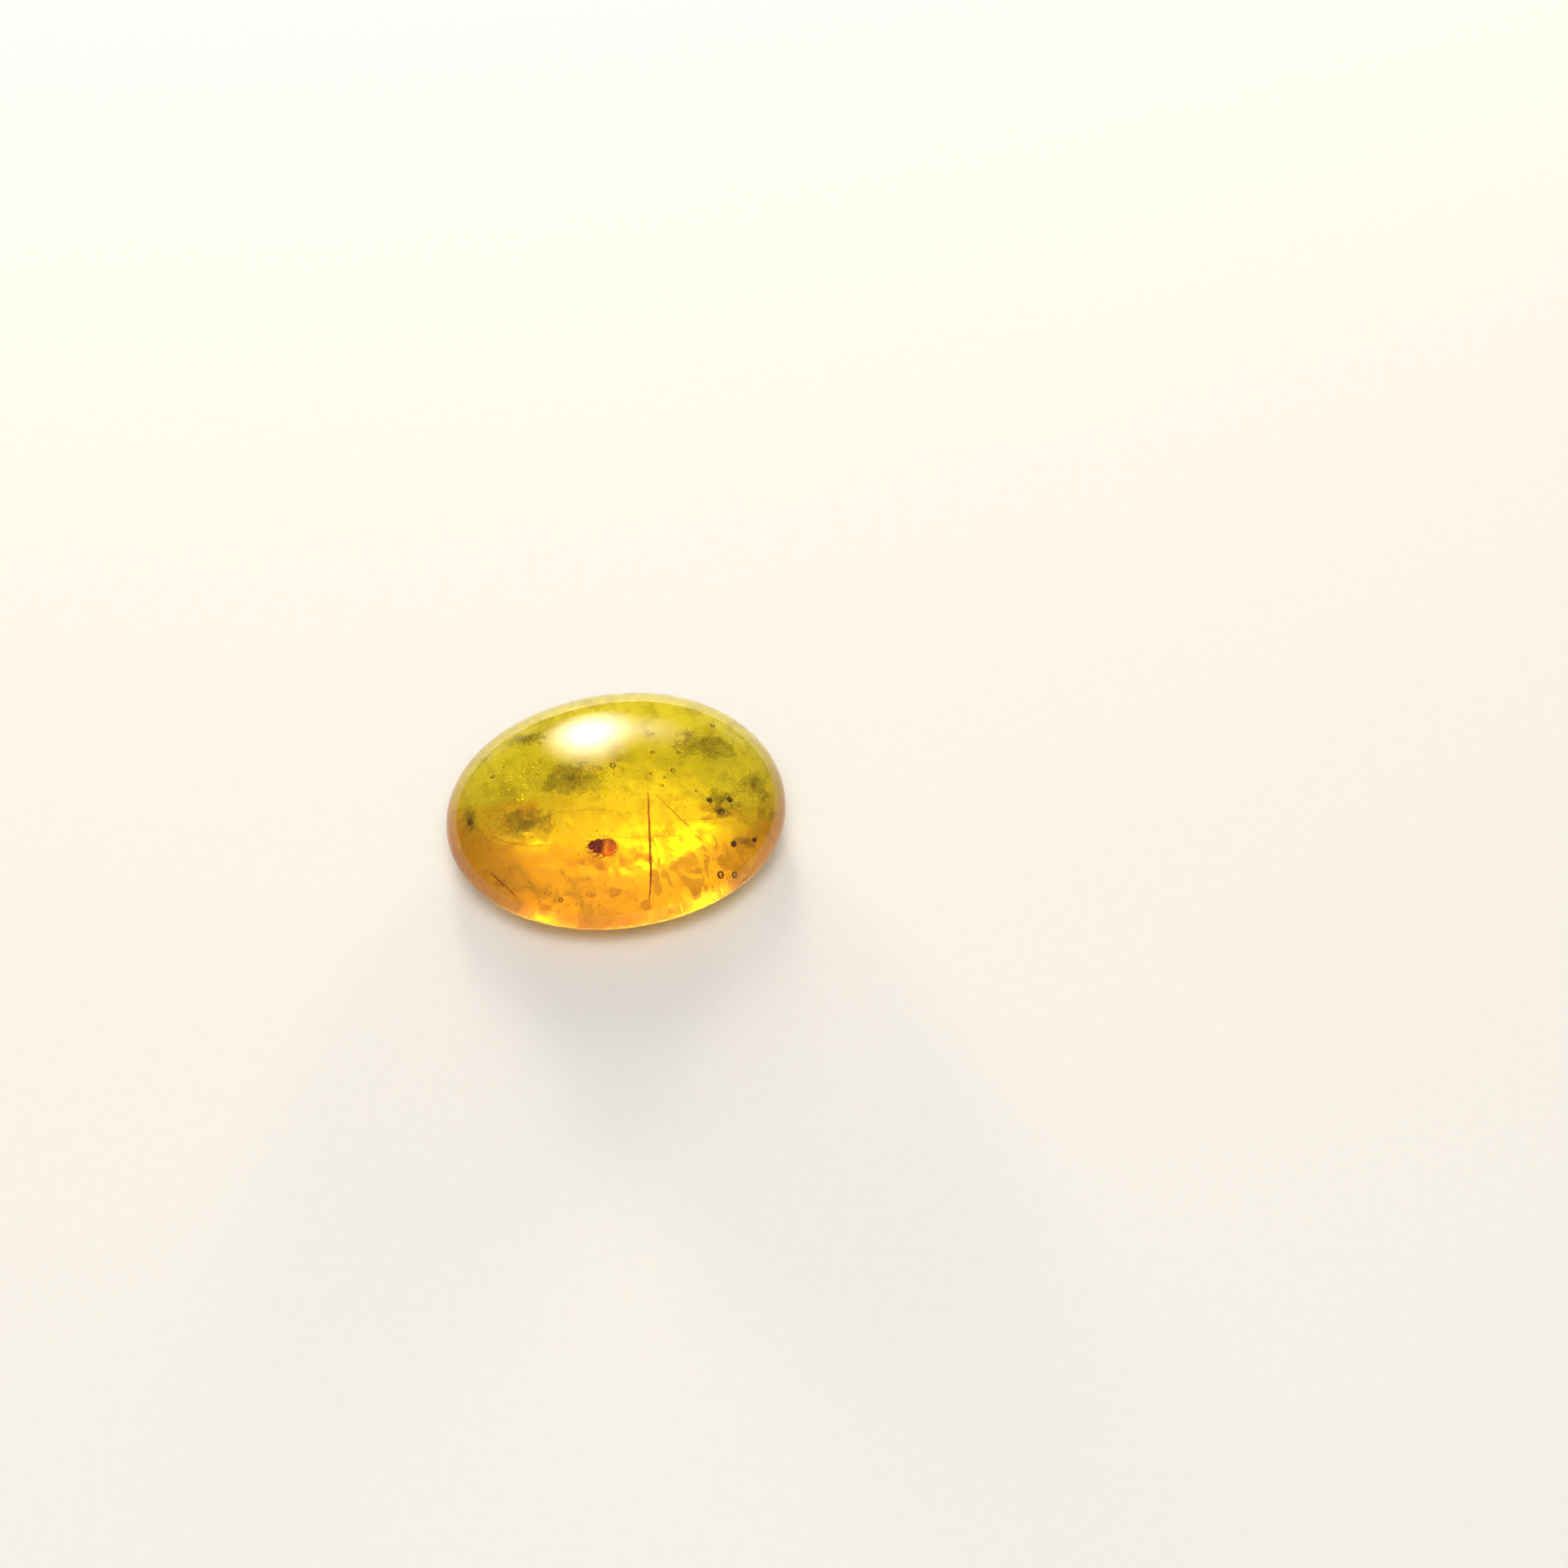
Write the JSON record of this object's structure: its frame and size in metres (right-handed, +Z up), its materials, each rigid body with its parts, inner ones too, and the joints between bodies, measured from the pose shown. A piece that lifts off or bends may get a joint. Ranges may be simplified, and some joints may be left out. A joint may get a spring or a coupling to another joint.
{
  "type": "insect in amber",
  "caption": "Polished oval amber cabochon, see-through golden, with a small beetle-like insect, fibres and dark debris sealed inside; it lies on a flat base.",
  "frame": {"origin": "centre of the stone's box in plan, on the flat base it lies on", "axes": "+X along the stone's length, +Y across its width, +Z up from the base through the dome"},
  "size_m": [0.03, 0.0272, 0.0092],
  "materials": {
    "amber": "polished, see-through golden fossil resin",
    "chitin": "glossy dark red-brown insect shell",
    "fibre": "dark red-brown plant fibre or hair",
    "debris": "dull dark brown plant debris"
  },
  "bodies": {
    "root": {"amber_upper": "amber", "amber_lower": "amber", "insect": "chitin", "long_fibre": "fibre", "short_fibre": "fibre", "debris_crumb_1": "debris", "debris_crumb_2": "debris", "debris_crumb_3": "debris", "debris_crumb_4": "debris", "debris_crumb_5": "debris", "debris_crumb_6": "debris", "debris_crumb_7": "debris", "dirt_cloud_left": "debris", "dirt_cloud_middle": "debris", "dirt_cloud_right": "debris", "dirt_cloud_back_left": "debris", "dirt_cloud_back_right": "debris"}
  },
  "joints": []
}
